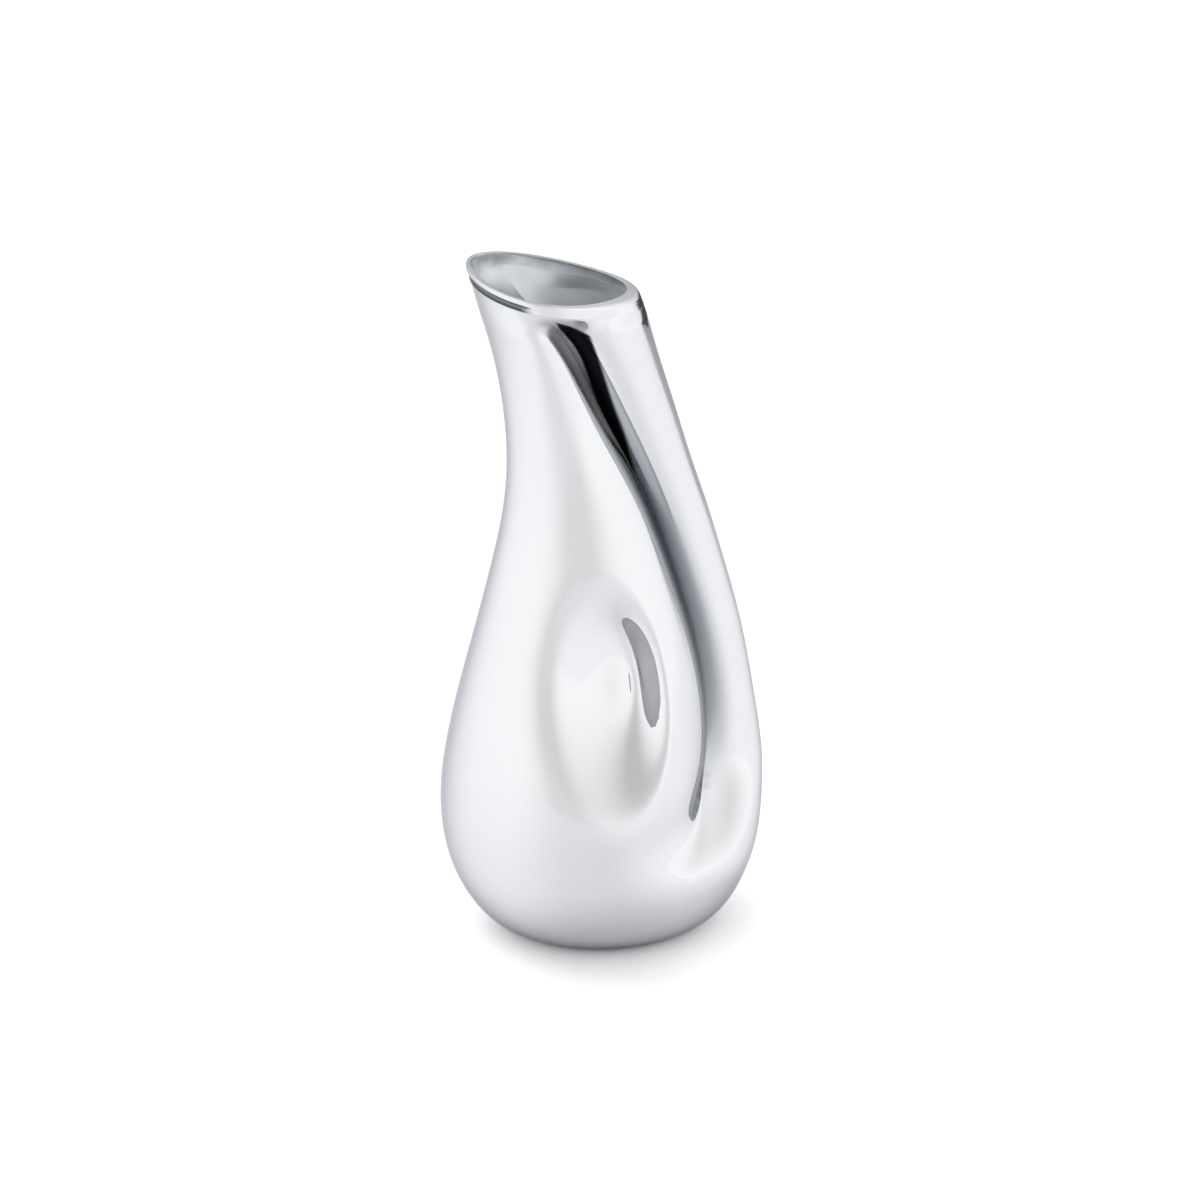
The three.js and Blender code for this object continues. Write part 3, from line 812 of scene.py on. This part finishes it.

# %% [markdown]
# ## The table
#
# A mirror is lit by what surrounds it, so the light is a whole room. A product
# photographer stands polished silver in a tent of white cloth, on a pale sheet. The sheet's
# glow is painted light and no lamp: none right under the jug, and most towards the two
# sides of the view.
#
# A plain white plane would do for the shadow, but its far edge would be a hard line in
# every reflection. So the sheet turns transparent with the distance from the jug, and the
# tent behind it takes over.

# %% Table
TABLE_HALF = 1.0                   # metres from the middle of the sheet to its edges
MELT_NEAR, MELT_FAR = 0.15, 0.9    # metres from the jug over which the sheet melts away
PAINTED_GLOW_NEAR, PAINTED_GLOW_FAR = 0.01, 0.045    # metres from the jug over which the painted glow sets in
PAINTED_GLOW_POWER = 0.4
PAINTED_GLOW_FRONT = 0.4                    # share of the painted glow that is left in front and behind
SIDEWAYS = (0.94, -0.342, 0)       # across the view, from the left side to the right one


def sideways(tree, direction):
    """How far a direction points to either side of the view, 0 to 1, as a socket."""
    along = add_node(tree, "ShaderNodeVectorMath", {0: direction, 1: SIDEWAYS}, operation="DOT_PRODUCT")
    either = add_node(tree, "ShaderNodeMath", {0: along.outputs["Value"]}, operation="ABSOLUTE")
    return either.outputs["Value"]


def sheet_with_painted_glow():
    material, tree, place = start_material("table, sheet with painted glow")
    reach = add_node(tree, "ShaderNodeVectorMath", {0: place}, operation="LENGTH")
    melted = add_node(tree, "ShaderNodeMapRange", {
        "Value": reach.outputs["Value"], "From Min": MELT_NEAR, "From Max": MELT_FAR},
        interpolation_type="SMOOTHSTEP")
    # Painted light: the sheet glows in a ring round the jug, none right under it, and most towards the
    # two sides.
    glow_ring = add_node(tree, "ShaderNodeMapRange", {
        "Value": reach.outputs["Value"], "From Min": PAINTED_GLOW_NEAR, "From Max": PAINTED_GLOW_FAR,
        "To Max": PAINTED_GLOW_POWER}, interpolation_type="SMOOTHSTEP")
    bearing = add_node(tree, "ShaderNodeVectorMath", {0: place}, operation="NORMALIZE")
    glow_sides = add_node(tree, "ShaderNodeMapRange", {
        "Value": sideways(tree, bearing.outputs["Vector"]), "From Min": 0.15, "From Max": 0.9,
        "To Min": PAINTED_GLOW_FRONT}, interpolation_type="SMOOTHSTEP")
    power = add_node(tree, "ShaderNodeMath", {
        0: glow_ring.outputs["Result"], 1: glow_sides.outputs["Result"]}, operation="MULTIPLY")
    sheet = add_node(tree, "ShaderNodeBsdfDiffuse", {"Color": linear("#f4f4f5")})
    glow = add_node(tree, "ShaderNodeEmission", {"Strength": power.outputs["Value"]})
    opal = add_node(tree, "ShaderNodeAddShader", {0: sheet.outputs["BSDF"], 1: glow.outputs["Emission"]})
    clear = add_node(tree, "ShaderNodeBsdfTransparent")
    blend = add_node(tree, "ShaderNodeMixShader", {
        0: melted.outputs["Result"], 1: opal.outputs["Shader"], 2: clear.outputs["BSDF"]})
    add_node(tree, "ShaderNodeOutputMaterial", {"Surface": blend.outputs["Shader"]})
    return material


def add_plane(name, corners, material):
    """One quad with its finish, a piece of the stage around the jug."""
    mesh = bpy.data.meshes.new(name)
    mesh.from_pydata(corners, [], [(0, 1, 2, 3)])
    mesh.materials.append(material)
    plane = bpy.data.objects.new(name, mesh)
    bpy.context.collection.objects.link(plane)
    return plane


table_corners = [(x * TABLE_HALF, y * TABLE_HALF, jug_low.z)
                 for x, y in ((-1, -1), (1, -1), (1, 1), (-1, 1))]
table = add_plane("table_top", table_corners, sheet_with_painted_glow())
print("table top at", round(jug_low.z / MM, 2), "mm, where the jug stands")

# %% [markdown]
# ## The light
#
# The tent is the world itself. Its cloth is brightest at table height towards the side
# lamps and calmer overhead, so the mirror has soft bands that show how its walls turn. One
# soft box, high behind the left side, gives the jug its shadow. The mirror doesn't show
# it, as a photographer would hide it behind the cloth.
#
# Last comes a card of grey felt beside the table. Without something darker to mirror, a
# silver flank in a white tent vanishes against the background. The card is soft at its
# edges, so that its reflection has no outline, and nothing but the mirror sees it.

# %% The white tent
def white_tent():
    """World that is brightest at table height and calmer overhead."""
    world = bpy.data.worlds.new("white tent")
    world.use_nodes = True
    tree = world.node_tree
    tree.nodes.clear()
    direction = add_node(tree, "ShaderNodeTexCoord").outputs["Generated"]
    height = add_node(tree, "ShaderNodeSeparateXYZ", {"Vector": direction}).outputs["Z"]
    around = add_node(tree, "ShaderNodeMapRange", {
        "Value": sideways(tree, direction), "From Min": 0.2, "From Max": 0.95,
        "To Min": 1.15, "To Max": 1.55}, interpolation_type="SMOOTHSTEP")
    ceiling = add_node(tree, "ShaderNodeMapRange", {
        "Value": height, "From Min": 0.0, "From Max": 0.85,
        "To Min": 1.0, "To Max": 0.74}, interpolation_type="SMOOTHSTEP")
    strength = add_node(tree, "ShaderNodeMath", {
        0: around.outputs["Result"], 1: ceiling.outputs["Result"]}, operation="MULTIPLY")
    light = add_node(tree, "ShaderNodeBackground", {
        "Color": linear("#ffffff"), "Strength": strength.outputs["Value"]})
    add_node(tree, "ShaderNodeOutputWorld", {"Surface": light.outputs["Background"]})
    return world


bpy.context.scene.world = white_tent()
print(bpy.context.scene.world.name + ":", len(bpy.context.scene.world.node_tree.nodes), "nodes")


# %% Soft box
def soft_box(name, place, target, side, power):
    """Square area lamp at `place`, turned to `target`, that the mirror doesn't show."""
    lamp = bpy.data.objects.new(name, bpy.data.lights.new(name, "AREA"))
    bpy.context.collection.objects.link(lamp)
    lamp.data.size, lamp.data.energy = side, power
    lamp.location = place
    lamp.rotation_mode = "QUATERNION"
    lamp.rotation_quaternion = (Vector(place) - Vector(target)).to_track_quat("Z", "Y")
    lamp.visible_glossy = False
    return lamp


lamp = soft_box("soft_box", place=(-0.55, 0.65, 1.35), target=(0, 0, 0), side=1.0, power=6.0)
print("soft box:", round(lamp.location.length, 2), "m from the jug")


# %% Grey card
def grey_felt():
    """Felt that is dense in the middle of the card and clear at its edges."""
    material, tree, spot = start_material("card, grey felt")
    round_patch = add_node(tree, "ShaderNodeTexGradient", {"Vector": spot}, gradient_type="SPHERICAL")
    cover = add_node(tree, "ShaderNodeMapRange", {
        "Value": round_patch.outputs["Fac"], "From Min": 0.0, "From Max": 0.6},
        interpolation_type="SMOOTHSTEP")
    felt = add_node(tree, "ShaderNodeBsdfDiffuse", {"Color": linear("#5e6165")})
    clear = add_node(tree, "ShaderNodeBsdfTransparent")
    blend = add_node(tree, "ShaderNodeMixShader", {
        0: cover.outputs["Result"], 1: clear.outputs["BSDF"], 2: felt.outputs["BSDF"]})
    add_node(tree, "ShaderNodeOutputMaterial", {"Surface": blend.outputs["Shader"]})
    return material


def grey_card(name, place, turn, half_width, half_height):
    """Card that only the mirror sees. Its own space runs from -1 to 1, as the felt expects."""
    card = add_plane(name, [(-1, 0, -1), (1, 0, -1), (1, 0, 1), (-1, 0, 1)], grey_felt())
    card.location = place
    card.rotation_euler = (0, 0, turn)
    card.scale = (half_width, 1, half_height)
    card.visible_camera = card.visible_diffuse = card.visible_shadow = False
    return card


card = grey_card("grey_card", place=(0.45, 0.30, 0.03), turn=math.radians(-20),
                 half_width=0.36, half_height=0.17)
print("grey card:", round(card.location.length, 2), "m from the jug")

# %% [markdown]
# ## The camera
#
# The jug is seen from its spout side and a little from above, through a long lens from two
# metres, which keeps the tall shape from bulging towards the viewer. A turn and a tilt say
# where the camera stands. Its focal length follows from the width that it has to show.

# %% Camera
VIEW_TURN, VIEW_TILT = math.radians(-20), math.radians(22)
VIEW_DISTANCE = 2.0
FRAME_WIDTH = 0.2384     # metres that the view spans at the jug
AIM_HEIGHT = 0.065       # metres over the table
AIM_RIGHT, AIM_UP = -0.0004, 0.00265  # metres across the view that centre the jug in it
SENSOR = 36.0


def add_camera():
    camera = bpy.data.objects.new("camera", bpy.data.cameras.new("camera"))
    bpy.context.collection.objects.link(camera)
    level = math.cos(VIEW_TILT)
    back = Vector((math.sin(VIEW_TURN) * level, -math.cos(VIEW_TURN) * level, math.sin(VIEW_TILT)))
    right = Vector((math.cos(VIEW_TURN), math.sin(VIEW_TURN), 0))
    up = back.cross(right)
    camera.location = Vector((0, 0, AIM_HEIGHT)) + right * AIM_RIGHT + up * AIM_UP + back * VIEW_DISTANCE
    camera.rotation_mode = "QUATERNION"
    camera.rotation_quaternion = back.to_track_quat("Z", "Y")
    camera.data.sensor_width = SENSOR
    camera.data.lens = SENSOR * VIEW_DISTANCE / FRAME_WIDTH
    camera.data.clip_start, camera.data.clip_end = 0.05, 50
    return camera


bpy.context.scene.camera = add_camera()
bpy.context.scene.view_settings.view_transform = "Standard"
print("lens, mm:", round(bpy.context.scene.camera.data.lens))
